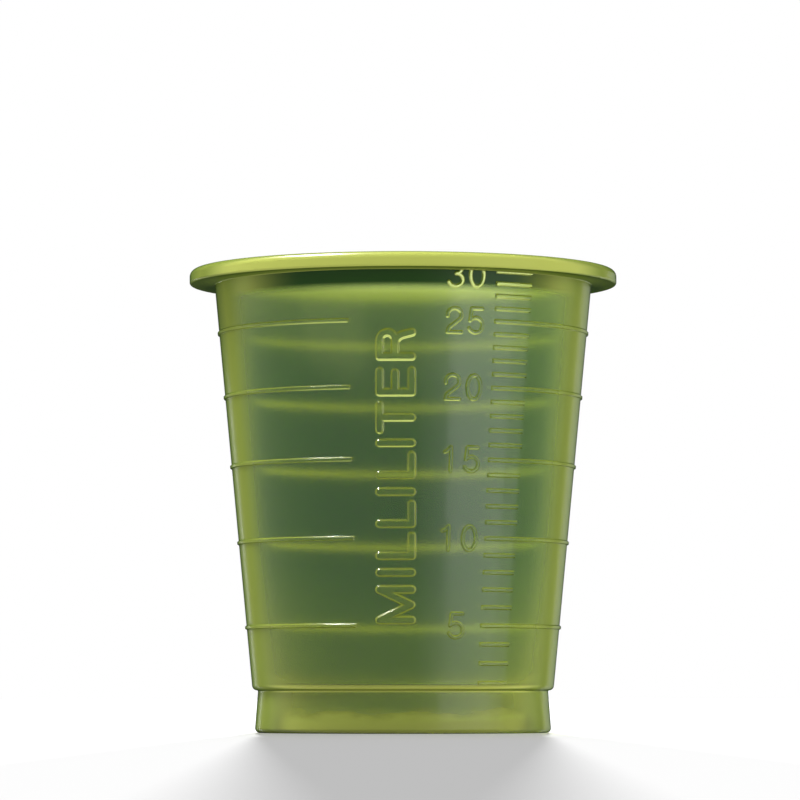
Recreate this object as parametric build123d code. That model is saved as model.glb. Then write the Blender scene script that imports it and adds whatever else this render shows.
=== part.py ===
from build123d import *
import math
import os

# A small medicine cup, moulded in one piece of plastic. All sizes are in millimetres.
# The origin is the centre of the base, where the cup stands, and +Z runs up its axis.
# The scale faces -Y, which is the front of the cup.

# Rim: a flat flange that turns outward at the top of the wall
HEIGHT = 43.4
RIM_DIAMETER = 40.2
RIM_THICKNESS = 1.4
RIM_TOP_ROUND = 0.65
MOUTH_CUT = 0.2

# Tapered wall: its outside diameters, and how thick it is at each end
NECK_DIAMETER = 35.46
SHOULDER_DIAMETER = 28.2
WALL_AT_NECK = 0.72
WALL_AT_SHOULDER = 0.9

# Foot: set in under the shoulder by a ledge, and flared again down to the table
FOOT_HEIGHT = 3.95
LEDGE_WIDTH = 0.52
FOOT_FLARE = 0.31
FOOT_WALL = 0.72
FOOT_CUT = 0.3
SHOULDER_CUT = 0.28
STEP_LIFT = 0.25

# Floor: lifted off the table inside the ring that the cup stands on
STAND_RING_WIDTH = 1.3
RECESS_DEPTH = 0.25
RECESS_SLOPE = 0.2
FLOOR_THICKNESS = 0.55
FLOOR_CORNER_CUT = 0.45

# Gate: the shallow well in the middle of the underside where the plastic went in, and its stub
GATE_WELL_DIAMETER = 4.0
GATE_WELL_DEPTH = 0.1
GATE_DIAMETER = 1.1
GATE_STUB = 0.15

# Scale: one raised mark for each millilitre, at the height where the cup holds that much
CAPACITY_ML = 30
FIRST_MARK_ML = 2
LONG_MARK_ML = 5
MARK_WIDTH = 0.45
MARK_CREST_WIDTH = 0.27
MARK_HEIGHT = 0.15
MARK_ROOT = 0.12

# Where the marks run round the cup, in degrees counter-clockwise from the front.
# The long marks are rings that leave the front open for the lettering.
FRONT = -90.0
LONG_MARK_START = 28.5
LONG_MARK_END = 343.5
SHORT_MARK_END = 42.0

CUBIC_MM_PER_ML = 1000.0

# Radii and heights that follow from the sizes above
RIM_RADIUS = RIM_DIAMETER / 2
NECK_RADIUS = NECK_DIAMETER / 2
SHOULDER_RADIUS = SHOULDER_DIAMETER / 2
FOOT_TOP_RADIUS = SHOULDER_RADIUS - LEDGE_WIDTH
FOOT_BASE_RADIUS = FOOT_TOP_RADIUS + FOOT_FLARE
RIM_UNDERSIDE = HEIGHT - RIM_THICKNESS
FLOOR_TOP = RECESS_DEPTH + FLOOR_THICKNESS
WALL_RUN = NECK_RADIUS - SHOULDER_RADIUS
WALL_RISE = RIM_UNDERSIDE - FOOT_HEIGHT


def outside_radius(height):
    """Outside radius of the tapered wall at a height above the base."""
    return SHOULDER_RADIUS + WALL_RUN * (height - FOOT_HEIGHT) / WALL_RISE


def inside_radius(height):
    """Inside radius of the tapered wall, which thins towards the rim."""
    share = (height - FOOT_HEIGHT) / WALL_RISE
    wall = WALL_AT_SHOULDER + share * (WALL_AT_NECK - WALL_AT_SHOULDER)
    return outside_radius(height) - wall


def foot_inside_radius(height):
    """Inside radius of the foot, whose wall is the same all the way up."""
    return FOOT_BASE_RADIUS - FOOT_FLARE * height / FOOT_HEIGHT - FOOT_WALL


def outer_area():
    """Half section of the cup as if it were full: underside, foot, ledge, wall and rim."""
    ring_inside = FOOT_BASE_RADIUS - FOOT_CUT - STAND_RING_WIDTH
    return make_face(
        Polyline(
            (0, RECESS_DEPTH),
            (ring_inside - RECESS_SLOPE, RECESS_DEPTH),
            (ring_inside, 0),
            (FOOT_BASE_RADIUS, 0),
            (FOOT_TOP_RADIUS, FOOT_HEIGHT),
            (SHOULDER_RADIUS, FOOT_HEIGHT),
            (NECK_RADIUS, RIM_UNDERSIDE),
            (RIM_RADIUS, RIM_UNDERSIDE),
            (RIM_RADIUS, HEIGHT),
            (0, HEIGHT),
            close=True,
        )
    )


def step_heights():
    """Lower and upper end of the small step inside the cup, which follows the ledge outside."""
    low = FOOT_HEIGHT + STEP_LIFT
    return low, low + inside_radius(low) - foot_inside_radius(low)


def cavity_area(top):
    """Half section of the space inside the cup, up to a height at or above the step."""
    step_low, step_high = step_heights()
    corner_top = FLOOR_TOP + FLOOR_CORNER_CUT
    corners = [
        (0, FLOOR_TOP),
        (foot_inside_radius(FLOOR_TOP) - FLOOR_CORNER_CUT, FLOOR_TOP),
        (foot_inside_radius(corner_top), corner_top),
        (foot_inside_radius(step_low), step_low),
        (inside_radius(step_high), step_high),
    ]
    if top > step_high:
        corners.append((inside_radius(top), top))
    return make_face(Polyline(*corners, (0, top), close=True))


def swept_volume(area):
    """Volume that a half section sweeps in a full turn: its area times the path of its centre."""
    return area.area * 2 * math.pi * area.center().X


def fill_height(millilitres):
    """Height of the liquid that fills the cup to a volume: the foot's volume, then a cone."""
    step_top = step_heights()[1]
    start_radius = inside_radius(step_top)
    slope = (inside_radius(RIM_UNDERSIDE) - start_radius) / (RIM_UNDERSIDE - step_top)
    above_step = millilitres * CUBIC_MM_PER_ML - swept_volume(cavity_area(step_top))
    end_radius = (start_radius**3 + 3 * slope * above_step / math.pi) ** (1 / 3)
    return step_top + (end_radius - start_radius) / slope


def corner_of(section, radius, height):
    """The corner of the section that lies at a radius and height."""
    return section.vertices().sort_by_distance((radius, height))[0]


def body():
    """The plain cup: its section with the edges softened, turned about the axis."""
    section = outer_area() - cavity_area(HEIGHT)
    softened = [
        (FOOT_BASE_RADIUS, 0, FOOT_CUT),
        (SHOULDER_RADIUS, FOOT_HEIGHT, SHOULDER_CUT),
        (inside_radius(HEIGHT), HEIGHT, MOUTH_CUT),
    ]
    for radius, height, cut in softened:
        section = chamfer(corner_of(section, radius, height), cut)
    section = fillet(corner_of(section, RIM_RADIUS, HEIGHT), RIM_TOP_ROUND)
    return revolve(Plane.XZ * section, axis=Axis.Z)


def gate_well():
    """The shallow cut in the middle of the underside."""
    return Pos(0, 0, RECESS_DEPTH) * extrude(Circle(GATE_WELL_DIAMETER / 2), GATE_WELL_DEPTH)


def gate_stub():
    """The stub that is left in the well, too short to reach the table."""
    well_top = RECESS_DEPTH + GATE_WELL_DEPTH
    return Pos(0, 0, well_top - GATE_STUB) * extrude(Circle(GATE_DIAMETER / 2), GATE_STUB + MARK_ROOT)


def mark(height, start, end):
    """One raised mark with sloped flanks, square to the wall, from one angle round to another."""
    flank = (MARK_WIDTH - MARK_CREST_WIDTH) / 2 / MARK_HEIGHT
    root_half = MARK_WIDTH / 2 + MARK_ROOT * flank
    crest_half = MARK_CREST_WIDTH / 2
    ridge = make_face(
        Polyline(
            (-MARK_ROOT, -root_half),
            (MARK_HEIGHT, -crest_half),
            (MARK_HEIGHT, crest_half),
            (-MARK_ROOT, root_half),
            close=True,
        )
    )
    lean = math.degrees(math.atan2(WALL_RUN, WALL_RISE))
    ridge = Plane.XZ * (Pos(outside_radius(height), height) * (Rot(0, 0, -lean) * ridge))
    swept = revolve(ridge, axis=Axis.Z, revolution_arc=end - start)
    return Rot(0, 0, FRONT + start) * swept


def scale_marks():
    """Rings at every fifth millilitre and short marks between them, where the wall has room."""
    marks = []
    for millilitres in range(FIRST_MARK_ML, CAPACITY_ML):
        height = fill_height(millilitres)
        if not FOOT_HEIGHT + MARK_WIDTH < height < RIM_UNDERSIDE:
            continue
        is_long = millilitres % LONG_MARK_ML == 0
        marks.append(mark(height, LONG_MARK_START, LONG_MARK_END if is_long else SHORT_MARK_END))
        print(f"{millilitres} ml at {height:.2f} mm")
    return marks


cup = body() - gate_well() + gate_stub() + scale_marks()
print(f"brimful: {swept_volume(cavity_area(HEIGHT)) / CUBIC_MM_PER_ML:.1f} ml")
print(f"plastic: {cup.volume / CUBIC_MM_PER_ML:.3f} ml in {len(cup.solids())} solid")

os.makedirs("parts", exist_ok=True)
export_step(cup.solids()[0], "parts/cup.step")
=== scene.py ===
# %% [markdown]
# # A medicine cup in translucent green plastic
# The real object is a 30 ml dosing cup, injection moulded in one shot. Its tapered wall carries
# raised rings, short marks, numbers and the name of the unit, all in the same plastic.
# The CAD model gives the place and the size. This script dresses it: first the camera, then one
# closed mesh of the moulding with its lettering, then the plastic, and last the floor and lamps.

import bpy
import math
import numpy as np
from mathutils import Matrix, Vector
from mathutils.geometry import delaunay_2d_cdt


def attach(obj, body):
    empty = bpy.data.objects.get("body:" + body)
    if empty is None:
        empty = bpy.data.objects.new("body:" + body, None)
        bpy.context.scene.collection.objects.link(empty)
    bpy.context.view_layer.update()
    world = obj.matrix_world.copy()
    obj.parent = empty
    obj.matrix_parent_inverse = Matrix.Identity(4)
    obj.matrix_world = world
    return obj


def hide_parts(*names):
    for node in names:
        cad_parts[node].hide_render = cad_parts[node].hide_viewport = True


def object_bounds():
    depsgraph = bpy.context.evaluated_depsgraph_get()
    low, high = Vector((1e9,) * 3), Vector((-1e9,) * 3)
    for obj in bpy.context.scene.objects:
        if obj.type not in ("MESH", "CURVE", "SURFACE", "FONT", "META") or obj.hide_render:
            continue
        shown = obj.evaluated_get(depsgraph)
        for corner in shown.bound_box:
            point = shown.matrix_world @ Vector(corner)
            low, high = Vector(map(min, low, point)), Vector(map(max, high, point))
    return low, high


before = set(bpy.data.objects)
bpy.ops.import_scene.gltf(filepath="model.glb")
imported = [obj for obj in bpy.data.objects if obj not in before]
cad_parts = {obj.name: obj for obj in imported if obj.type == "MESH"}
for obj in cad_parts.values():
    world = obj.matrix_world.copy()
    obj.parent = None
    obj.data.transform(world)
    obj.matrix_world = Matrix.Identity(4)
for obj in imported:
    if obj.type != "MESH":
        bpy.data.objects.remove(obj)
cad_low, cad_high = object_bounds()
MM = 0.001
print("CAD box in mm:", [round(v / MM, 2) for v in (*cad_low, *cad_high)])

# %% [markdown]
# ## Camera
# The photograph was taken from just above the table with a long lens, tilted up a little, so the
# rim is seen from below and its far side shows through the wall. The camera could be shifted
# instead of tilted, but a tilt also frames the cup well when the camera walks round it.

# %% Camera at the photograph's angle
CAMERA_DISTANCE = 429 * MM
CAMERA_HEIGHT = 3.5 * MM
LENS = 205.58
TILT = math.radians(3.697)
TURN = math.radians(0.038)

camera_data = bpy.data.cameras.new("camera")
camera_data.lens = LENS
camera_data.sensor_width = 36
camera_data.clip_start = 0.01
camera = bpy.data.objects.new("camera", camera_data)
camera.location = (0, -CAMERA_DISTANCE, CAMERA_HEIGHT)
camera.rotation_euler = (math.pi / 2 + TILT, 0, TURN)
bpy.context.scene.collection.objects.link(camera)
bpy.context.scene.camera = camera
print("camera looks up by", round(math.degrees(TILT), 2), "degrees")

# %% [markdown]
# ## The turned section
# Apart from the scale the moulding is a turned shape, so it is drawn as a half section whose
# corners are all rounded. Each point of the section keeps its normal. A small round then shades
# exactly like the real one, with few points, and flat parts stay flat beside it.

# %% Sizes of the section in millimetres
HEIGHT = (cad_high.z - cad_low.z) / MM
RIM_RADIUS = (cad_high.y - cad_low.y) / 2 / MM
RIM_UNDERSIDE = HEIGHT - 1.4
NECK_RADIUS = 17.73
SHOULDER_RADIUS = 14.1
WALL_AT_NECK = 0.72
WALL_AT_SHOULDER = 0.9
FOOT_HEIGHT = 3.95
FOOT_TOP_RADIUS = 13.58
FOOT_BASE_RADIUS = 13.89
FOOT_WALL = 0.72
STEP_LIFT = 0.25
STAND_RING_INSIDE = 12.29
RECESS_DEPTH = 0.25
FLOOR_TOP = 0.8
WELL_RADIUS = 2.0
WELL_TOP = 0.35
STUB_RADIUS = 0.55
STUB_BOTTOM = 0.2


def wall_share(height):
    return (height - FOOT_HEIGHT) / (RIM_UNDERSIDE - FOOT_HEIGHT)


def outside_radius(height):
    return SHOULDER_RADIUS + (NECK_RADIUS - SHOULDER_RADIUS) * wall_share(height)


def inside_radius(height):
    thickness = WALL_AT_SHOULDER + (WALL_AT_NECK - WALL_AT_SHOULDER) * wall_share(height)
    return outside_radius(height) - thickness


def foot_inside_radius(height):
    flare = (FOOT_BASE_RADIUS - FOOT_TOP_RADIUS) * height / FOOT_HEIGHT
    return FOOT_BASE_RADIUS - flare - FOOT_WALL


print("wall at 25 mm:", round(outside_radius(25) - inside_radius(25), 3), "mm thick")


# %% A helper that rounds one corner of a section
def round_corner(before, corner, after, radius, steps):
    """Rows (radius, height, normal out, normal up) along the round, with the plastic at the left."""
    before, corner, after = (np.array(p[:2], float) for p in (before, corner, after))
    arriving = (corner - before) / np.linalg.norm(corner - before)
    leaving = (after - corner) / np.linalg.norm(after - corner)
    turn = math.atan2(arriving[0] * leaving[1] - arriving[1] * leaving[0], arriving @ leaving)
    start = corner - arriving * radius * math.tan(abs(turn) / 2)
    first_normal = np.array((arriving[1], -arriving[0]))
    side = math.copysign(1, turn)
    centre = start - side * radius * first_normal
    rows = []
    for angle in np.linspace(0, turn, steps + 1):
        c, s = math.cos(angle), math.sin(angle)
        normal = np.array(((c, -s), (s, c))) @ first_normal
        rows.append((*(centre + side * radius * normal), *normal))
    return rows


def section_rows(corners, longest=2.5):
    """Rows along a run of corners, each (radius, height, round, steps); both ends stay sharp."""
    rows = []
    for before, corner, after in zip(corners, corners[1:], corners[2:]):
        arc = round_corner(before, corner, after, corner[2], corner[3])
        if rows:
            last, first = np.array(rows[-1]), np.array(arc[0])
            extra = int(np.linalg.norm(first[:2] - last[:2]) / longest)
            rows += [tuple(last + (first - last) * k / (extra + 1)) for k in range(1, extra + 1)]
        rows += arc
    return rows


# %% The section below the wall and above it
step_low = FOOT_HEIGHT + STEP_LIFT
step_high = step_low + inside_radius(step_low) - foot_inside_radius(step_low)
AXIS_BELOW = (0, STUB_BOTTOM)
SHOULDER = (SHOULDER_RADIUS, FOOT_HEIGHT, 0.48, 7)
NECK = (NECK_RADIUS, RIM_UNDERSIDE, 0.13, 6)
RIM_EDGE = (RIM_RADIUS, RIM_UNDERSIDE, 0.22, 5)
below = [
    AXIS_BELOW,
    (STUB_RADIUS, STUB_BOTTOM, 0.05, 2),
    (STUB_RADIUS, WELL_TOP, 0.04, 2),
    (WELL_RADIUS, WELL_TOP, 0.05, 2),
    (WELL_RADIUS, RECESS_DEPTH, 0.04, 2),
    (STAND_RING_INSIDE - 0.2, RECESS_DEPTH, 0.15, 3),
    (STAND_RING_INSIDE, 0, 0.12, 3),
    (FOOT_BASE_RADIUS, 0, 0.42, 7),
    (FOOT_TOP_RADIUS, FOOT_HEIGHT, 0.12, 4),
    SHOULDER,
    NECK,
]
above = [
    NECK,
    RIM_EDGE,
    (RIM_RADIUS, HEIGHT, 0.65, 9),
    (inside_radius(HEIGHT), HEIGHT, 0.3, 6),
    (inside_radius(step_high), step_high, 0.3, 4),
    (foot_inside_radius(step_low), step_low, 0.3, 4),
    (foot_inside_radius(FLOOR_TOP), FLOOR_TOP, 0.8, 7),
    (0, FLOOR_TOP),
]
rows_below = section_rows(below)
rows_above = section_rows(above)
neck_round = round_corner(SHOULDER, NECK, RIM_EDGE, NECK[2], NECK[3])
print("section rows below and above the wall:", len(rows_below), len(rows_above))

# %% The outer wall, measured along its own slope
wall_start = np.array(rows_below[-1])
wall_end = np.array(neck_round[0])
WALL_RUN = float(np.linalg.norm(wall_end[:2] - wall_start[:2]))
LEAN = math.atan2(wall_end[0] - wall_start[0], wall_end[1] - wall_start[1])
NECK_TURN = math.pi / 2 - LEAN
WALL_TOTAL = WALL_RUN + NECK[2] * NECK_TURN


def wall_rows(along):
    """Radius, height and normal of the plain outer wall at distances along its slope."""
    along = np.asarray(along, float)
    straight = np.minimum(along, WALL_RUN)
    angle = np.maximum(along - WALL_RUN, 0) / NECK[2]
    out = wall_start[0] + straight * math.sin(LEAN)
    up = wall_start[1] + straight * math.cos(LEAN)
    heading = LEAN + angle
    out = out + NECK[2] * (math.cos(LEAN) - np.cos(heading))
    up = up + NECK[2] * (np.sin(heading) - math.sin(LEAN))
    return out, up, np.cos(heading), -np.sin(heading)


def along_wall(height):
    """Distance along the slope at which the straight wall reaches a height."""
    return (height - wall_start[1]) / math.cos(LEAN)


print("the wall leans", round(math.degrees(LEAN), 2), "degrees and is", round(WALL_RUN, 2), "mm long")

# %% [markdown]
# ## Where the scale stands
# The marks measure volume, so their heights come from the inside of the cup: the foot holds a
# fixed volume, and above the small step the space is a cone. The same working is in the CAD
# source, and the marks of the two models fall in the same places.


# %% Height of the liquid for a volume
def ring_of_cone(low_radius, high_radius, height):
    return math.pi * height / 3 * (low_radius**2 + low_radius * high_radius + high_radius**2)


CORNER_CUT = 0.45
corner_top = FLOOR_TOP + CORNER_CUT
foot_volume = (
    ring_of_cone(foot_inside_radius(FLOOR_TOP) - CORNER_CUT, foot_inside_radius(corner_top), CORNER_CUT)
    + ring_of_cone(foot_inside_radius(corner_top), foot_inside_radius(step_low), step_low - corner_top)
    + ring_of_cone(foot_inside_radius(step_low), inside_radius(step_high), step_high - step_low)
)


def fill_height(millilitres):
    start = inside_radius(step_high)
    slope = (inside_radius(RIM_UNDERSIDE) - start) / (RIM_UNDERSIDE - step_high)
    end = (start**3 + 3 * slope * (millilitres * 1000 - foot_volume) / math.pi) ** (1 / 3)
    return step_high + (end - start) / slope


print("marks at", {ml: round(fill_height(ml), 2) for ml in (2, 5, 10, 15, 20, 25, 29)})

# %% [markdown]
# ## Raised marks and letters as strokes
# The lettering was cut into the mould with a round-ended cutter, so every letter is a set of
# strokes of one width with soft flanks. It could be Blender text pushed onto the wall, but a
# font has other shapes and hard edges. Here each stroke is a line on the unrolled wall, and the
# height of the plastic follows from the distance to the nearest line.

# %% Widths and heights of the relief in millimetres
WORD = {"width": 0.92, "flank": 0.28, "rise": 0.2}
DIGIT = {"width": 0.42, "flank": 0.15, "rise": 0.15}
MARK = {"width": 0.45, "flank": 0.13, "rise": 0.15}
LONG_MARK = (28.5, 343.5)
SHORT_MARK = (28.5, 42.0)
print("letters stand", WORD["rise"], "mm proud, marks", MARK["rise"], "mm")


# %% The little language of the strokes, on a unit square
def line(*points):
    return [np.array(points, float)]


def bow(centre, radii, start, end, *, tail=()):
    """An arc in degrees, which can run on into straight points."""
    angles = np.radians(np.linspace(start, end, max(8, int(abs(end - start) / 9))))
    arc = np.stack((centre[0] + radii[0] * np.cos(angles), centre[1] + radii[1] * np.sin(angles)), 1)
    return [np.concatenate((arc, np.array(tail, float).reshape(-1, 2)))]


DIGITS = {
    "0": bow((0.5, 0.5), (0.5, 0.5), 90, 450),
    "1": line((0.52, 0), (0.52, 1)) + line((0.08, 0.8), (0.3, 0.86), (0.52, 1)),
    "2": bow((0.48, 0.72), (0.5, 0.28), 190, -38, tail=((0.1, 0.2), (0, 0))) + line((0, 0), (1, 0)),
    "3": bow((0.47, 0.76), (0.43, 0.24), 165, -85) + bow((0.48, 0.27), (0.52, 0.27), 85, -160),
    "5": line((0.95, 1), (0.15, 1))
    + line((0.15, 1), (0.06, 0.5))
    + bow((0.47, 0.31), (0.53, 0.31), 140, -155),
}
CAPITALS = {
    "M": line((0, 0), (0, 1))
    + line((0, 1), (0.5, 0.02))
    + line((0.5, 0.02), (1, 1))
    + line((1, 1), (1, 0)),
    "I": line((0, 0), (0, 1)),
    "L": line((0, 0), (0, 1)) + line((0, 0), (1, 0)),
    "T": line((0, 1), (1, 1)) + line((0.5, 0), (0.5, 1)),
    "E": line((0, 0), (0, 1))
    + line((0, 0), (1, 0))
    + line((0, 0.52), (0.9, 0.52))
    + line((0, 1), (0.97, 1)),
    "R": line((0, 0), (0, 1))
    + bow((0.66, 0.76), (0.34, 0.24), 90, -90, tail=((0, 0.52),))
    + line((0, 1), (0.66, 1))
    + bow((0.5, 0.2), (0.42, 0.32), 90, 15, tail=((1, 0),)),
}
print("shapes:", "".join(DIGITS), "".join(CAPITALS))


# %% Strokes with even points, so that they bend with the wall
def evenly(path, spacing):
    steps = np.linalg.norm(np.diff(path, axis=0), axis=1)
    walked = np.concatenate(((0,), np.cumsum(steps)))
    count = max(2, int(math.ceil(walked[-1] / spacing)) + 1)
    at = np.linspace(0, walked[-1], count)
    return np.stack((np.interp(at, walked, path[:, 0]), np.interp(at, walked, path[:, 1])), 1)


strokes = []


def add_stroke(path, shape, facing, spacing):
    """A stroke on the unrolled wall: its line in mm across and along, and the angle it faces."""
    strokes.append({"path": evenly(path, spacing), "facing": facing, **shape})


# %% The numbers, each centred on its ring
DIGIT_HEIGHT = 2.6
DIGIT_WIDTH = 1.72
DIGIT_STEP = 2.04
DIGIT_FACING = math.radians(19.1)
LAST_NUMBER_HEIGHT = 41.55

for number in (5, 10, 15, 20, 25, 30):
    middle = along_wall(LAST_NUMBER_HEIGHT if number == 30 else fill_height(number))
    size = np.array((DIGIT_WIDTH, DIGIT_HEIGHT)) - DIGIT["width"]
    text = str(number)
    for place, character in enumerate(text):
        across = (place - (len(text) - 1) / 2) * DIGIT_STEP
        for shape in DIGITS[character]:
            path = (shape - 0.5) * size + (across, middle)
            add_stroke(path, DIGIT, DIGIT_FACING, 0.1)
print("number strokes:", len(strokes))

# %% The name of the unit, which reads up the wall
LETTER_HEIGHT = 3.83
LETTER_WIDTHS = {"M": 3.7, "I": 0.92, "L": 2.7, "T": 3.15, "E": 2.87, "R": 3.1}
LETTER_GAPS = {
    "M": (0.3, 0.33),
    "I": (0.3, 0.3),
    "L": (0.3, -0.1),
    "T": (-0.02, -0.05),
    "E": (0.3, 0.07),
    "R": (0.3, 0.3),
}
WORD_START = 9.83
WORD_ACROSS = -0.67

cursor = along_wall(WORD_START)
for place, character in enumerate("MILLILITER"):
    if place:
        cursor += LETTER_GAPS[character][0]
    size = np.array((LETTER_WIDTHS[character], LETTER_HEIGHT)) - WORD["width"]
    for shape in CAPITALS[character]:
        reading = cursor + WORD["width"] / 2 + shape[:, 0] * size[0]
        across = WORD_ACROSS - (shape[:, 1] - 0.5) * size[1]
        add_stroke(np.stack((across, reading), 1), WORD, 0.0, 0.16)
    cursor += LETTER_WIDTHS[character] + LETTER_GAPS[character][1]
print("strokes in all:", len(strokes), "; the word ends at", round(cursor, 2), "mm along the wall")

# %% The rings and the short marks, square to the axis and with square ends
marks = []
for millilitres in range(2, 30):
    start, end = LONG_MARK if millilitres % 5 == 0 else SHORT_MARK
    marks.append({"at": along_wall(fill_height(millilitres)), "start": start, "end": end, **MARK})
print("marks:", len(marks))


# %% The height of the plastic at any point of the unrolled wall
def ease(t):
    return t * t * (3 - 2 * t)


def ease_slope(t):
    return 6 * t * (1 - t)


def fade(along):
    """One on the straight wall, and down to nothing where the wall has turned into the rim."""
    t = np.clip((WALL_TOTAL - along) / (WALL_TOTAL - WALL_RUN) / 0.8, 0, 1)
    return ease(t)


def relief(facing, along):
    """Rise of the surface in mm, its slope across and along, and how far up its flank it is."""
    radius = wall_rows(along)[0]
    rise, across_slope, along_slope = (np.zeros(len(along)) for _ in range(3))
    share = np.zeros(len(along))

    def keep(chosen, t, shape, gradient):
        """Takes the higher of what stands there and one more flank, with its own gradient."""
        t = np.clip(t, 0, 1)
        height = shape["rise"] * ease(t)
        higher = height > rise[chosen]
        pick = chosen[higher]
        rise[pick] = height[higher]
        share[pick] = t[higher]
        steep = (shape["rise"] / shape["flank"] * ease_slope(t))[higher]
        across_slope[pick] = -steep * gradient[0][higher]
        along_slope[pick] = -steep * gradient[1][higher]

    for mark in marks:
        half = mark["width"] / 2
        turn_from_start = np.degrees(facing) % 360
        near = np.flatnonzero(
            (abs(along - mark["at"]) < half)
            & (turn_from_start > mark["start"] - 1e-6)
            & (turn_from_start < mark["end"] + 1e-6)
        )
        off = along[near] - mark["at"]
        angle = turn_from_start[near]
        to_start = np.radians(angle - mark["start"]) * radius[near]
        to_end = np.radians(mark["end"] - angle) * radius[near]
        inside = np.stack((half - abs(off), to_start, to_end))
        which = inside.argmin(0)
        t = inside.min(0) / mark["flank"]
        across = np.where(which == 1, -1.0, np.where(which == 2, 1.0, 0.0))
        keep(near, t, mark, (across, np.where(which == 0, np.sign(off), 0.0)))

    for stroke in strokes:
        half = stroke["width"] / 2
        path = stroke["path"]
        across = radius * (facing - stroke["facing"])
        low, high = path.min(0) - half, path.max(0) + half
        beside = (across > low[0]) & (across < high[0])
        near = np.flatnonzero(beside & (along > low[1]) & (along < high[1]))
        if not len(near):
            continue
        point = np.stack((across[near], along[near]), 1)
        best = np.full(len(near), 1e9)
        away = np.zeros((len(near), 2))
        for a, b in zip(path, path[1:]):
            step = b - a
            share_of_step = np.clip((point - a) @ step / (step @ step), 0, 1)
            gap = point - a - share_of_step[:, None] * step
            distance = np.linalg.norm(gap, axis=1)
            closer = distance < best
            best[closer] = distance[closer]
            away[closer] = gap[closer] / np.maximum(distance[closer], 1e-9)[:, None]
        keep(near, (half - best) / stroke["flank"], stroke, (away[:, 0], away[:, 1]))

    fading = fade(along)
    return rise * fading, across_slope * fading, along_slope * fading, share * fading


# %% [markdown]
# ## The mesh
# The whole moulding is one closed skin. Most of it is a grid: rows of the section, turned in even
# columns. The front of the wall, where the scale is, gets a finer skin instead: the outlines of
# all strokes, at several levels of their flanks, are joined into triangles that share the edge
# points of the grid. A dense grid would also do, but slanting strokes would show its steps.

# %% Columns, rows and the window for the scale
COLUMNS = 240
COLUMN_TURN = 2 * math.pi / COLUMNS
WINDOW = (-12, 30)
LEVELS = (0.0, 0.25, 0.5, 0.75, 1.0)
ROW_STEP = 0.8

ring_levels = []
for mark in marks:
    if mark["end"] == LONG_MARK[1]:
        offsets = [mark["width"] / 2 - level * mark["flank"] for level in LEVELS]
        ring_levels += [mark["at"] + side * offset for offset in offsets for side in (-1, 1)]
plain_levels = [
    row
    for row in np.arange(ROW_STEP, WALL_RUN, ROW_STEP)
    if min(abs(row - ring) for ring in ring_levels) > ROW_STEP / 3
]
neck_levels = list(np.linspace(WALL_RUN, WALL_TOTAL, NECK[3] + 1)[:-1])
between = sorted(ring_levels + plain_levels + neck_levels)
wall_levels = [float(np.float32(v)) for v in (0.0, *between, WALL_TOTAL)]
print("rows of the outer wall:", len(wall_levels))

# %% Outlines of the strokes on the unrolled wall
UNROLL_RADIUS = 16.0
window_points = []
window_edges = []


def unroll(facing, across, along):
    """Places of stroke points on the flat window, in mm at one middle radius."""
    radius = wall_rows(along)[0]
    return np.stack(((facing + across / radius) * UNROLL_RADIUS, along), 1)


def add_outline(points, closed=True):
    """Adds a line of points and the edges between them, leaving out what is off the window."""
    top = WALL_TOTAL - 0.03
    bottom = 0.05
    first = len(window_points)
    keep_point = (points[:, 1] < top) & (points[:, 1] > bottom)
    index = np.cumsum(keep_point) - 1 + first
    window_points.extend(points[keep_point])
    pairs = list(zip(range(len(points)), range(1, len(points))))
    if closed:
        pairs.append((len(points) - 1, 0))
    kept = [(a, b) for a, b in pairs if keep_point[a] and keep_point[b]]
    window_edges.extend((int(index[a]), int(index[b])) for a, b in kept)


def capsule(path, offset):
    """The closed lines at one distance round a stroke: two for a ring, one for any other."""
    direction = np.gradient(path, axis=0)
    if np.allclose(path[0], path[-1]):
        direction[0] = direction[-1] = path[1] - path[-2]
        normal = np.stack((-direction[:, 1], direction[:, 0]), 1)
        normal /= np.linalg.norm(normal, axis=1)[:, None]
        return [(path + normal * offset)[:-1], (path - normal * offset)[:-1]]
    normal = np.stack((-direction[:, 1], direction[:, 0]), 1)
    normal /= np.linalg.norm(normal, axis=1)[:, None]
    ends = []
    for tip, n in ((path[-1], normal[-1]), (path[0], -normal[0])):
        sweep = np.radians(np.linspace(0, -180, 13))[1:-1]
        c, s = np.cos(sweep), np.sin(sweep)
        round_end = np.stack((n[0] * c - n[1] * s, n[0] * s + n[1] * c), 1)
        ends.append(tip + round_end * offset)
    return [np.concatenate((path + normal * offset, ends[0], (path - normal * offset)[::-1], ends[1]))]


for stroke in strokes:
    for level in LEVELS:
        for outline in capsule(stroke["path"], stroke["width"] / 2 - level * stroke["flank"]):
            add_outline(unroll(stroke["facing"], outline[:, 0], outline[:, 1]))
print("outline points of the lettering:", len(window_points))

# %% Outlines of the marks, up to the window's sides
window_start, window_end = (math.degrees(edge * COLUMN_TURN) for edge in WINDOW)


def bar(first, last, count, at, half, closed):
    """The outline of a mark at one level of its flank: along one side and back along the other."""
    turn = np.linspace(first, last, count) * UNROLL_RADIUS
    low = np.stack((turn, np.full(count, at - half)), 1)
    high = np.stack((turn, np.full(count, at + half)), 1)
    add_outline(np.concatenate((low, high[::-1])), closed)


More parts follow.
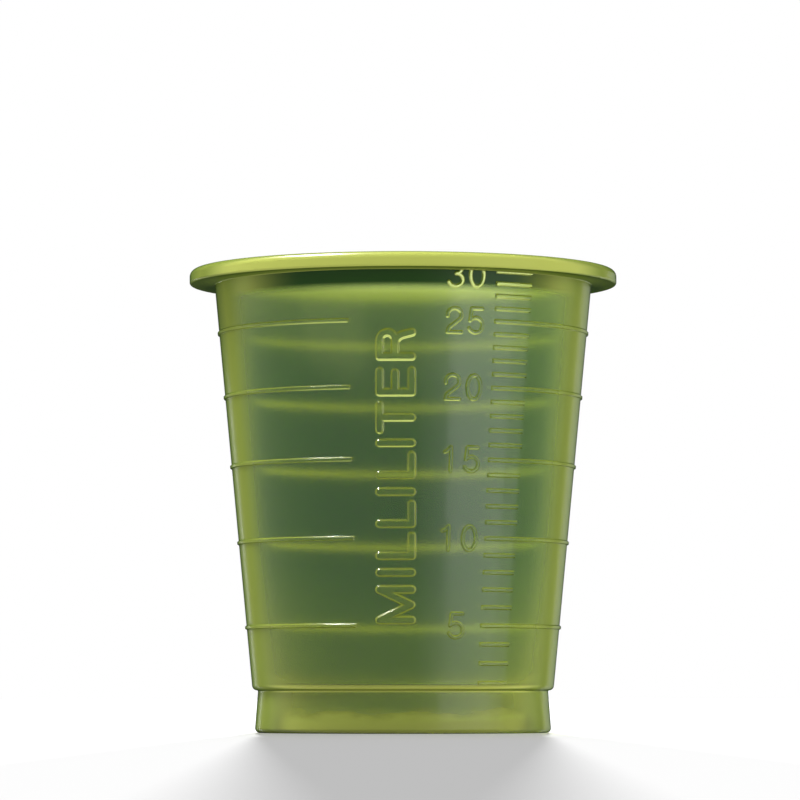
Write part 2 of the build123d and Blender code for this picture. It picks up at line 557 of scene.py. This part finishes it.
BAR_SPACING = 0.35
POINTS_TO_LEFT_SIDE = 4
POINTS_TO_RIGHT_SIDE = 14
for mark in marks:
    radius = float(wall_rows(mark["at"])[0])
    for level in LEVELS:
        inset = level * mark["flank"]
        half = mark["width"] / 2 - inset
        start = math.radians(mark["start"]) + inset / radius
        if mark["end"] == SHORT_MARK[1]:
            end = math.radians(mark["end"]) - inset / radius
            count = max(2, int((end - start) * radius / BAR_SPACING) + 1)
            bar(start, end, count, mark["at"], half, True)
        else:
            end = math.radians(mark["end"] - 360) - inset / radius
            bar(math.radians(window_start), end, POINTS_TO_LEFT_SIDE, mark["at"], half, False)
            bar(math.radians(window_end), start, POINTS_TO_RIGHT_SIDE, mark["at"], half, False)
print("outline points with the marks:", len(window_points))

# %% Plain points of the window, clear of the relief
column_turns = np.arange(WINDOW[0], WINDOW[1] + 1) * COLUMN_TURN * UNROLL_RADIUS
even_rows = np.arange(ROW_STEP, WALL_TOTAL - 0.05, ROW_STEP)
grid_turn, grid_along = (table.ravel() for table in np.meshgrid(column_turns[1:-1], even_rows))
CLEAR = 0.2
busy = np.zeros(len(grid_turn), bool)
for du in (-CLEAR, 0, CLEAR):
    for ds in (-CLEAR, 0, CLEAR):
        busy |= relief((grid_turn + du) / UNROLL_RADIUS, grid_along + ds)[0] > 0
window_points.extend(np.stack((grid_turn, grid_along), 1)[~busy])
neck_rows = [level for level in wall_levels if WALL_RUN <= level < WALL_TOTAL]
neck_grid = [(turn, level) for level in neck_rows for turn in column_turns[1:-1]]
window_points.extend(np.array(neck_grid))

edge_points = [(turn, wall_levels[0]) for turn in column_turns]
edge_points += [(turn, wall_levels[-1]) for turn in column_turns]
for turn in (column_turns[0], column_turns[-1]):
    edge_points += [(turn, level) for level in wall_levels[1:-1]]
first_edge_point = len(window_points)
window_points.extend(np.array(edge_points))
print("points of the window:", len(window_points))

# %% Triangles of the window
flat = [Vector((float(p[0]), float(p[1]))) for p in window_points]
found, _, triangles, origin, _, _ = delaunay_2d_cdt(flat, window_edges, [], 0, 1e-5)
found = np.array([tuple(p) for p in found])
triangles = np.array([t for t in triangles if len(t) == 3])
corner = found[triangles]
one_side = corner[:, 1] - corner[:, 0]
other_side = corner[:, 2] - corner[:, 0]
doubled = one_side[:, 0] * other_side[:, 1] - one_side[:, 1] * other_side[:, 0]
triangles[doubled < 0] = triangles[doubled < 0][:, ::-1]
on_edge = np.zeros(len(found), int)
on_edge[abs(found[:, 0] - column_turns[0]) < 1e-4] = 1
on_edge[abs(found[:, 0] - column_turns[-1]) < 1e-4] = 2
flat_on_side = (on_edge[triangles] == 1).all(1) | (on_edge[triangles] == 2).all(1)
triangles = triangles[~flat_on_side & (abs(doubled) > 1e-12)]
print("triangles of the window:", len(triangles))

# %% The grid, and one list of points for everything
place = []
normals = []
raised = []
inner = []


def add_points(
    out, up, normal_out, normal_up, facing, rise=0, across_slope=0, along_slope=0, share=0, skin=0
):
    """Adds points of the skin, pushed out by their rise, with true normals; returns their numbers."""
    plain_values = (out, up, normal_out, normal_up, facing)
    relief_values = (rise, across_slope, along_slope, share, skin)
    tables = np.broadcast_arrays(*plain_values, *relief_values)
    out, up, normal_out, normal_up, facing, rise, across_slope, along_slope, share, skin = tables
    sine, cosine = np.sin(facing), np.cos(facing)
    radius, height = out + rise * normal_out, up + rise * normal_up
    outward = np.stack((normal_out * sine, -normal_out * cosine, normal_up), -1)
    upward = np.stack((-normal_up * sine, normal_up * cosine, normal_out), -1)
    sideways = np.stack((cosine, sine, np.zeros_like(sine)), -1)
    normal = outward - along_slope[..., None] * upward - across_slope[..., None] * sideways
    normal /= np.linalg.norm(normal, axis=-1)[..., None]
    first = sum(len(p) for p in place)
    place.append(np.stack((radius * sine, -radius * cosine, height), -1).reshape(-1, 3))
    normals.append(normal.reshape(-1, 3))
    raised.append(share.ravel())
    inner.append(skin.ravel())
    return first + np.arange(out.size).reshape(out.shape)


def turned(rows, skin=0.0):
    """Whole turns of section rows, as a table of point numbers with one line for each row."""
    out, up, normal_out, normal_up = (np.array(rows)[:, k][:, None] for k in range(4))
    facing = np.arange(COLUMNS)[None, :] * COLUMN_TURN
    table = add_points(out, up, normal_out, normal_up, facing, skin=skin)
    return np.concatenate((table, table[:, :1]), 1)


def mesh_between(table):
    """Four-sided faces between neighbouring rows and columns of a table of point numbers."""
    return [
        (int(table[i, j]), int(table[i, j + 1]), int(table[i + 1, j + 1]), int(table[i + 1, j]))
        for i in range(table.shape[0] - 1)
        for j in range(table.shape[1] - 1)
    ]


mouth_row = next(k for k, row in enumerate(rows_above) if row[2] < -0.5)
table_below = turned(rows_below)
skin_above = np.array([0.0 if k < mouth_row else 1.0 for k in range(len(rows_above))])[:, None]
table_above = turned(rows_above, skin_above)
levels = np.array(wall_levels[1:-1])
out, up, normal_out, normal_up = (v[:, None] for v in wall_rows(levels))
grid_facing = np.arange(WINDOW[1], COLUMNS + WINDOW[0] + 1)[None, :] * COLUMN_TURN
along_table, facing_table = np.broadcast_arrays(levels[:, None], grid_facing)
rise, across_slope, along_slope, share = (
    v.reshape(along_table.shape) for v in relief(facing_table.ravel(), along_table.ravel())
)
table_wall = add_points(out, up, normal_out, normal_up, grid_facing, rise, across_slope, along_slope, share)
grid_columns = np.arange(WINDOW[1], COLUMNS + WINDOW[0] + 1)
table_wall = np.concatenate((table_below[-1:, grid_columns], table_wall, table_above[:1, grid_columns]))
faces = mesh_between(table_below) + mesh_between(table_above) + mesh_between(table_wall)
print("four-sided faces:", len(faces))

# %% The window's points and the two centres on the axis
window_number = np.full(len(found), -1)
edge_numbers = {}
count = len(column_turns)
for k in range(count):
    column = (WINDOW[0] + k) % COLUMNS
    edge_numbers[first_edge_point + k] = int(table_below[-1, column])
    edge_numbers[first_edge_point + count + k] = int(table_above[0, column])
inner_levels = len(wall_levels) - 2
for k in range(inner_levels):
    edge_numbers[first_edge_point + 2 * count + k] = int(table_wall[k + 1, -1])
    edge_numbers[first_edge_point + 2 * count + inner_levels + k] = int(table_wall[k + 1, 0])
for number, sources in enumerate(origin):
    for source in sources:
        if source in edge_numbers:
            window_number[number] = edge_numbers[source]

free = np.flatnonzero(window_number < 0)
facing, along = found[free, 0] / UNROLL_RADIUS, found[free, 1]
out, up, normal_out, normal_up = wall_rows(along)
window_number[free] = add_points(out, up, normal_out, normal_up, facing, *relief(facing, along))
faces += [tuple(int(window_number[k]) for k in t) for t in triangles]

HUBS = ((table_below[0], STUB_BOTTOM, -1.0, 0.0), (table_above[-1], FLOOR_TOP, 1.0, 1.0))
for ring, hub_height, up_normal, skin in HUBS:
    hub = int(add_points(np.array([0.0]), hub_height, 0.0, up_normal, 0.0, skin=skin)[0])
    for j in range(COLUMNS):
        a, b = int(ring[j]), int(ring[j + 1])
        faces.append((hub, b, a) if up_normal < 0 else (hub, a, b))
print("faces in all:", len(faces))

# %% The mesh object, with its own normals and two painted values
place = np.concatenate(place) * MM
normals = np.concatenate(normals)
cup_mesh = bpy.data.meshes.new("cup_moulding")
cup_mesh.from_pydata([tuple(p) for p in place], [], faces)
cup_mesh.update()
cup_mesh.polygons.foreach_set("use_smooth", [True] * len(cup_mesh.polygons))
for name, values in (("raised", np.concatenate(raised)), ("inner_skin", np.concatenate(inner))):
    attribute = cup_mesh.attributes.new(name, "FLOAT", "POINT")
    attribute.data.foreach_set("value", np.asarray(values, np.float32))
cup_mesh.normals_split_custom_set_from_vertices([tuple(n) for n in normals])
cup_moulding = bpy.data.objects.new("cup_moulding", cup_mesh)
bpy.context.scene.collection.objects.link(cup_moulding)

edge_use = {}
for polygon in cup_mesh.polygons:
    for key in polygon.edge_keys:
        edge_use[key] = edge_use.get(key, 0) + 1
open_edges = sum(1 for n in edge_use.values() if n != 2)
leaning = sum(1 for p in cup_mesh.polygons if p.normal.dot(Vector(normals[p.vertices[0]])) < 0)
print("points", len(place), "triangles", sum(len(f) - 2 for f in faces))
print("open edges", open_edges, "faces that lean against their normals", leaning)

# %% What the frame is told about the cup
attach(cup_moulding, "root")
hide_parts("cup")

# %% [markdown]
# ## The plastic
# Polypropylene is milky. Light that meets the wall is partly scattered, which shows as a haze of
# yellow green, and partly passes on. A slanting look crosses more plastic and meets more haze, so
# the sides of the cup look denser than its middle, and the thick rim is nearly opaque. Volume
# scattering would do all this by itself, but slowly and with noise. Here a Layer Weight node gives
# the length of the path, and mixes a scattering surface with a clear one.

# %% A helper for node trees
plastic = bpy.data.materials.new("cup_plastic")
plastic.use_nodes = True
tree = plastic.node_tree
tree.nodes.clear()


def node(kind, name, **settings):
    made = tree.nodes.new(kind)
    made.name = made.label = name
    for key, value in settings.items():
        setattr(made, key, value)
    return made


def connect(value, socket):
    """Links another node's output to a socket, or sets the socket to a plain value."""
    if isinstance(value, bpy.types.NodeSocket):
        tree.links.new(value, socket)
    else:
        socket.default_value = value


def feed(target, *values):
    """Sets or links the inputs of a node in their order."""
    for socket, value in zip(target.inputs, values):
        connect(value, socket)
    return target


def calculate(name, operation, *values):
    return feed(node("ShaderNodeMath", name, operation=operation), *values).outputs[0]


def smooth_between(name, value, low, high, start, end):
    ramp = node("ShaderNodeMapRange", name, interpolation_type="SMOOTHSTEP")
    return feed(ramp, value, low, high, start, end).outputs[0]


def blend_colours(name, share, first, second):
    mix = node("ShaderNodeMix", name, data_type="RGBA")
    for socket, value in zip((mix.inputs[0], mix.inputs[6], mix.inputs[7]), (share, first, second)):
        connect(value, socket)
    return mix.outputs[2]


def colour_ramp(name, value, stops):
    """A Color Ramp from stops of (place, colour); the first and the last stop are its own two."""
    ramp = node("ShaderNodeValToRGB", name)
    connect(value, ramp.inputs["Fac"])
    elements = ramp.color_ramp.elements
    for element, (place, colour) in zip(elements, (stops[0], stops[-1])):
        element.position, element.color = place, (*colour, 1)
    for place, colour in stops[1:-1]:
        elements.new(place).color = (*colour, 1)
    return ramp.outputs["Color"]


# %% What the material reads: height, side of the skin, relief, and the slant of the look
SMALLEST_SQUARENESS = 0.06
geometry = node("ShaderNodeNewGeometry", "place")
height = feed(node("ShaderNodeSeparateXYZ", "height"), geometry.outputs["Position"]).outputs["Z"]
raised_value = node("ShaderNodeAttribute", "raised", attribute_name="raised").outputs["Fac"]
inner_value = node("ShaderNodeAttribute", "inner_skin", attribute_name="inner_skin").outputs["Fac"]
slant = node("ShaderNodeLayerWeight", "slant")
slant.inputs["Blend"].default_value = 0.5
squareness = calculate("squareness", "SUBTRACT", 1.0, slant.outputs["Facing"])
squareness = calculate("squareness_limit", "MAXIMUM", squareness, SMALLEST_SQUARENESS)
print("the look is never taken as squarer than 1 or flatter than", SMALLEST_SQUARENESS)

# %% A cloud that makes the borders of the zones ragged
CLOUD_SCALE = 900.0
CLOUD_STRETCH = (0.35, 0.35, 1.0)
CLOUD_REACH = 1.6 * MM
cloud = node("ShaderNodeTexNoise", "cloud")
cloud.inputs["Scale"].default_value = CLOUD_SCALE
cloud.inputs["Detail"].default_value = 3.0
stretched = node("ShaderNodeMapping", "stretched")
stretched.inputs["Scale"].default_value = CLOUD_STRETCH
connect(geometry.outputs["Position"], stretched.inputs["Vector"])
connect(stretched.outputs["Vector"], cloud.inputs["Vector"])
shift = calculate("cloud_shift", "MULTIPLY_ADD", cloud.outputs["Fac"], CLOUD_REACH, -CLOUD_REACH / 2)
ragged_height = calculate("ragged_height", "ADD", height, shift)

# %% Zones of the cup: each value fades from one height in millimetres to another
ZONES = {
    # Of these zones, the band at the foot and the two at the shoulder hold painted light, and the two under
    # the rim hold painted shade.
    "rim": (41.9, 42.05, 0.0, 5.0),
    "foot_painted_light_band": (0.9, 2.5, 1.0, 0.0),
    "low_wall": (4.6, 6.0, 0.09, 0.0),
    "shoulder_low": (3.7, 3.85, 0.0, 0.9),
    "shoulder_high": (4.2, 4.5, 1.0, 0.0),
    "hazier_down": (3.0, 20.0, 0.16, 0.0),
    "hazier_up": (33.0, 41.0, 0.0, 0.04),
    "under_rim_low": (39.7, 40.9, 0.0, 1.0),
    "under_rim_high": (41.95, 42.0, 1.0, 0.0),
    "glow_rim": (41.8, 42.1, 0.0, 1.0),
}


def zone(name, at):
    low, high, start, end = ZONES[name]
    return smooth_between(name, at, low * MM, high * MM, start, end)


def product(name, first, second):
    return calculate(name, "MULTIPLY", first, second)


def total(name, first, second):
    return calculate(name, "ADD", first, second)


def opposite(name, value):
    return calculate(name, "SUBTRACT", 1.0, value)


print("zones by height:", len(ZONES))

# %% [markdown]
# ## How much of the look is haze
# The real wall is thin, a little thicker near the foot, and the rim is thick. The haze is also made denser
# towards the foot and towards the rim, so the wall is lighter there than in its middle. The raised scale
# adds plastic, most of all to a look that grazes the flanks of a letter, and a painted light line is added
# there as more haze. A painted light band round the foot and a painted light line on the shoulder are added
# as haze the same way. The thickness, with this painted light, divided by how square the look is, gives the
# path, and the haze grows along the path by the same law as mist does, towards one but never past it.

# %% The thickness that counts, with painted light added, and the share of haze
# Of these amounts, the foot band's and the flanks' add painted light as haze.
WALL_HAZE = 0.14
FOOT_PAINTED_LIGHT_AMOUNT = 0.6
FLANK_PAINTED_LIGHT = 1.0
CREST_HAZE = 0.06
E = 2.718
# Painted light: a lighter band round the foot with a ragged top, fading where the look slants, added as
# haze.
foot_ends = smooth_between("foot_ends", squareness, 0.52, 0.68, 0.0, 1.0)
foot_painted_light_band = product("foot_band_front", zone("foot_painted_light_band", ragged_height), foot_ends)
# Painted light: a light line round the shoulder, added as haze here and as a light colour further on.
shoulder_painted_light_mask = product("shoulder_painted_light_mask", zone("shoulder_low", height), zone("shoulder_high", height))
# Painted light: a light line up the flanks of each stroke and mark, added as haze; the crest's small haze
# stands for its extra plastic.
flank = product("flank", raised_value, opposite("plain", raised_value))
crest = product("crest", raised_value, CREST_HAZE)

thickness = total("thickness_upper", zone("rim", height), WALL_HAZE)
thickness = total("thickness_down", thickness, zone("hazier_down", height))
thickness = total("thickness_up", thickness, zone("hazier_up", height))
thickness = total("thickness_foot", thickness, product("painted_foot_light_haze", foot_painted_light_band, FOOT_PAINTED_LIGHT_AMOUNT))
thickness = total("thickness_low", thickness, zone("low_wall", ragged_height))
thickness = total("thickness_and_shoulder_painted_light", thickness, shoulder_painted_light_mask)
relief_haze_and_painted_light = calculate("relief_haze_and_painted_light", "MULTIPLY_ADD", flank, FLANK_PAINTED_LIGHT, crest)
thickness = total("thickness_relief", thickness, relief_haze_and_painted_light)
crossed = calculate("crossed", "DIVIDE", thickness, squareness)
passed = calculate("passed", "POWER", E, product("minus_crossed", crossed, -1.0))
haze_share = opposite("haze_share", passed)

# %% The colour of the haze, from thin to thick
THIN_HAZE = (0.09, 0.38, 0.045)
EDGE_HAZE = (0.45, 0.53, 0.06)
THICK_HAZE = (0.55, 0.61, 0.12)
haze_stops = ((0.12, THIN_HAZE), (0.45, EDGE_HAZE), (1.0, THICK_HAZE))
haze_colour = colour_ramp("haze_colour", haze_share, haze_stops)
print("haze colours:", len(haze_stops))

# %% The painted shade under the rim, which the raised marks stand out of, and the painted light line on the shoulder
NECK_PAINTED_SHADE = (0.016, 0.06, 0.006, 1)
NECK_EDGE = (0.40, 0.46, 0.08, 1)
SHOULDER_PAINTED_LIGHT_COLOUR = (0.80, 0.86, 0.18, 1)
RELIEF_IN_SHADE = -0.7
outer_value = opposite("outer_skin", inner_value)
# Painted shade: a dark band under the rim on the outer skin, weaker on the raised marks, and turning to a
# lighter green where the look slants.
rim_painted_shade = product("rim_painted_shade", zone("under_rim_low", height), zone("under_rim_high", height))
rim_painted_shade = product("under_rim_outside", rim_painted_shade, outer_value)
mostly_plain = calculate("mostly_plain", "MULTIPLY_ADD", raised_value, RELIEF_IN_SHADE, 1.0)
rim_painted_shade = product("under_rim_plain", rim_painted_shade, mostly_plain)
neck_side = smooth_between("neck_side", squareness, 0.45, 0.85, 1.0, 0.0)
neck_colour = blend_colours("neck_colour", neck_side, NECK_PAINTED_SHADE, NECK_EDGE)
shaded = blend_colours("neck_shade", rim_painted_shade, haze_colour, neck_colour)
shaded = blend_colours("shoulder_light", shoulder_painted_light_mask, shaded, SHOULDER_PAINTED_LIGHT_COLOUR)
haze_share = calculate("haze_and_neck", "MAXIMUM", haze_share, rim_painted_shade)

# %% The two plastics that are mixed: one scatters, the other lets through
POLYPROPYLENE_IOR = 1.49
CLEAR_TINT = (0.84, 0.95, 0.30, 1)
haze = node("ShaderNodeBsdfPrincipled", "haze")
connect(shaded, haze.inputs["Base Color"])
haze.inputs["Roughness"].default_value = 0.24
haze.inputs["IOR"].default_value = POLYPROPYLENE_IOR
haze.inputs["Specular IOR Level"].default_value = 0.12

clear = node("ShaderNodeBsdfPrincipled", "clear")
clear.inputs["Base Color"].default_value = CLEAR_TINT
clear.inputs["Roughness"].default_value = 0.14
clear.inputs["IOR"].default_value = POLYPROPYLENE_IOR
clear.inputs["Specular IOR Level"].default_value = 0.08
clear.inputs["Transmission Weight"].default_value = 1.0

# %% [markdown]
# ## The far side and the edge
# A look through the cup ends on the far wall, whose outer skin it meets from within. There a nearly black
# Translucent shader paints shade on the far wall, so the bright room behind isn't seen through both walls,
# and only the rings and the rim, given a light colour, glow with the light from outside. At the edge of the
# outline the look runs along inside the wall for a long way. A matt surface with a trace of gloss stands
# there, which shows without any noise, and its colours are painted by the slant of the look as painted
# shade: darkest right at the outline and lighter green further in.

# %% The far skin, where light leaves the wall again
# Painted shade: the far wall's outer skin, met from within, is nearly black; only the rings and the rim
# keep a light colour.
PAINTED_FAR_SHADE = (0.004, 0.012, 0.002, 1)
FAR_RING = (0.85, 0.80, 0.13, 1)
leaving = product("leaving", outer_value, geometry.outputs["Backfacing"])
far_side_painted_shade_and_glow = node("ShaderNodeBsdfTranslucent", "far_side_painted_shade_and_glow")
glow_share = calculate("glow_share", "MAXIMUM", raised_value, zone("glow_rim", height))
connect(blend_colours("glow_colour", glow_share, PAINTED_FAR_SHADE, FAR_RING), far_side_painted_shade_and_glow.inputs["Color"])

# %% The edge of the outline, where the look only grazes the plastic
EDGE_GLOSS = 0.012
# Painted shade by the slant of the look: darkest right at the outline, lighter green further in.
edge_painted_shade_stops = (
    (0.06, (0.03, 0.06, 0.01)),
    (0.16, (0.15, 0.21, 0.035)),
    (0.3, (0.25, 0.31, 0.05)),
    (0.6, (0.15, 0.23, 0.04)),
    (0.45, (0.23, 0.30, 0.045)),
)
edge_matt = node("ShaderNodeBsdfDiffuse", "edge_matt")
connect(colour_ramp("edge_painted_shade", squareness, edge_painted_shade_stops), edge_matt.inputs["Color"])
edge_gloss = node("ShaderNodeBsdfAnisotropic", "edge_gloss")
edge_gloss.inputs["Roughness"].default_value = 0.2
edge_skin = node("ShaderNodeMixShader", "edge_skin")
feed(edge_skin, EDGE_GLOSS, edge_matt.outputs[0], edge_gloss.outputs[0])
edge_share = smooth_between("edge_share", squareness, 0.35, 0.6, 1.0, 0.0)
print("stops of the edge colour:", len(edge_painted_shade_stops))

# %% All together; a look that leaves through the inner skin meets the clear plastic only
within = product("within", inner_value, geometry.outputs["Backfacing"])
not_within = opposite("not_within", within)
haze_here = product("haze_here", haze_share, not_within)
edge_here = product("edge_here", edge_share, not_within)
front = feed(node("ShaderNodeMixShader", "front"), haze_here, clear.outputs[0], haze.outputs[0])
edged = feed(node("ShaderNodeMixShader", "edged"), edge_here, front.outputs[0], edge_skin.outputs[0])
whole = feed(node("ShaderNodeMixShader", "whole"), leaving, edged.outputs[0], far_side_painted_shade_and_glow.outputs[0])
output = node("ShaderNodeOutputMaterial", "output")
connect(whole.outputs[0], output.inputs["Surface"])
cup_mesh.materials.append(plastic)
print("plastic nodes:", len(tree.nodes))

# %% [markdown]
# ## Floor and backdrop
# The cup stands on white paper in a white room. The paper is one large face, and the room is the
# world: it is white to the eye and in glass and gloss, and weaker as a light, so that the green
# stays green. The paper is darker to the cup than to the camera for the same reason, and it isn't
# mirrored, so that the softboxes show in the wall without a break.

# %% Paper floor
SPREAD = 3.0
PAPER_FOR_CUP = (0.4, 0.4, 0.4, 1)
PAPER_FOR_CAMERA = (0.8, 0.8, 0.8, 1)
corners = [(-SPREAD, -SPREAD, 0), (SPREAD, -SPREAD, 0), (SPREAD, SPREAD, 0), (-SPREAD, SPREAD, 0)]
floor_mesh = bpy.data.meshes.new("floor")
floor_mesh.from_pydata(corners, [], [(0, 1, 2, 3)])
floor = bpy.data.objects.new("floor", floor_mesh)
bpy.context.scene.collection.objects.link(floor)
floor.visible_glossy = False
floor_material = bpy.data.materials.new("floor_paper")
floor_material.use_nodes = True
floor_mesh.materials.append(floor_material)
tree = floor_material.node_tree
paper = tree.nodes["Principled BSDF"]
paper.inputs["Roughness"].default_value = 1.0
paper.inputs["Specular IOR Level"].default_value = 0.0
camera_ray = node("ShaderNodeLightPath", "rays").outputs["Is Camera Ray"]
paper_colour = blend_colours("paper_colour", camera_ray, PAPER_FOR_CUP, PAPER_FOR_CAMERA)
connect(paper_colour, paper.inputs["Base Color"])
print("paper is", 2 * SPREAD, "m square")

# %% White room
AMBIENT = 0.65
world = bpy.data.worlds.new("studio")
bpy.context.scene.world = world
world.use_nodes = True
tree = world.node_tree
tree.nodes.clear()
rays = node("ShaderNodeLightPath", "rays").outputs
seen = calculate("seen_or_mirrored", "MAXIMUM", rays["Is Camera Ray"], rays["Is Glossy Ray"])
seen = calculate("seen_at_all", "MAXIMUM", seen, rays["Is Transmission Ray"])
strength = smooth_between("strength", seen, 0.0, 1.0, AMBIENT, 1.0)
background = feed(node("ShaderNodeBackground", "background"), (1, 1, 1, 1), strength)
world_output = node("ShaderNodeOutputWorld", "world_output")
connect(background.outputs[0], world_output.inputs["Surface"])
bpy.context.scene.view_settings.view_transform = "Standard"
print("the room lights the cup at", AMBIENT)

# %% [markdown]
# ## Lamps
# Gloss needs something to mirror: a tall softbox at the front right makes the pale band beside the
# numbers, two at the back line the sides, and one high at the left lights the upper flanks of
# rings and letters. They light the cup alone. The shadow on the paper comes from two low suns
# behind the cup, side by side. Each would throw a wide shadow, but the paper stays grey only where
# both are hidden, which leaves one soft-sided shadow as narrow as the foot.

# %% A helper for softboxes, and places round the cup
CUP_MIDDLE = (0, 0, 22 * MM)
for_cup = bpy.data.collections.new("lit_by_softboxes")
for_cup.objects.link(cup_moulding)


def softbox(name, centre, size, brightness, target=CUP_MIDDLE, only_gloss=False):
    """A lamp with a square face that looks at the cup; its brightness is that of its face."""
    data = bpy.data.lights.new(name, "AREA")
    data.shape = "RECTANGLE"
    data.size, data.size_y = size
    data.energy = brightness * math.pi * size[0] * size[1]
    lamp = bpy.data.objects.new(name, data)
    lamp.location = centre
    lamp.rotation_euler = (Vector(target) - Vector(centre)).to_track_quat("-Z", "Y").to_euler()
    lamp.light_linking.receiver_collection = for_cup
    lamp.light_linking.blocker_collection = for_cup
    lamp.visible_diffuse = not only_gloss
    lamp.visible_transmission = False
    bpy.context.scene.collection.objects.link(lamp)


def around(degrees, distance, height):
    """A place round the cup: 0 is the camera's side and 90 is to its right."""
    turn = math.radians(degrees)
    return (distance * math.sin(turn), -distance * math.cos(turn), height)


# %% The tall softbox at the front right, which fades towards the front in three steps
STRIPS = ((12, 20, 0.25), (20, 27, 0.55), (27, 34, 0.8), (34, 82, 1.0))
STRIP_REACH = 0.35
STRIP_HEIGHT = 0.17
STRIP_MIDDLE = -0.03
STRIP_BRIGHTNESS = 1.25
for number, (start, end, share) in enumerate(STRIPS):
    wide = 2 * STRIP_REACH * math.tan(math.radians(end - start) / 2)
    softbox(
        f"front_right_{number}",
        around((start + end) / 2, STRIP_REACH, STRIP_MIDDLE),
        (wide, STRIP_HEIGHT),
        STRIP_BRIGHTNESS * share,
        (0, 0, STRIP_MIDDLE),
        only_gloss=True,
    )
print("strips of the front softbox:", len(STRIPS))

# %% The other softboxes: a soft one, one high at the left, and two behind
softbox("front_right_soft", around(50, 0.5, 0.12), (0.4, 0.4), 1.2)
softbox("top_left", (-0.22, 0.02, 0.5), (0.3, 0.2), 14.0)
softbox("top_left_core", (-0.20, 0.0, 0.45), (0.18, 0.14), 150.0, only_gloss=True)
softbox("back_left", around(211, 0.3, -0.03), (0.028, 0.14), 30.0, (0, 0, -0.03), only_gloss=True)
softbox("back_right", around(152, 0.3, -0.02), (0.12, 0.2), 12.0, (0, 0, -0.02), only_gloss=True)
print("softboxes:", len(bpy.data.lights))

# %% Two low suns for the shadow on the paper
SUN_HEIGHT = math.radians(5.0)
SUN_ASIDE = math.radians(2.1)
SUN_WIDTH = math.radians(1.6)
SUN_ENERGY = 21.0
for_floor = bpy.data.collections.new("lit_by_low_sun")
for_floor.objects.link(floor)
for side in (-1, 1):
    sun_data = bpy.data.lights.new("low_sun", "SUN")
    sun_data.angle = SUN_WIDTH
    sun_data.energy = SUN_ENERGY
    low_sun = bpy.data.objects.new("low_sun", sun_data)
    low_sun.rotation_euler = (SUN_HEIGHT - math.pi / 2, 0, SUN_ASIDE * side)
    low_sun.light_linking.receiver_collection = for_floor
    bpy.context.scene.collection.objects.link(low_sun)
print("lamps:", len(bpy.data.lights))
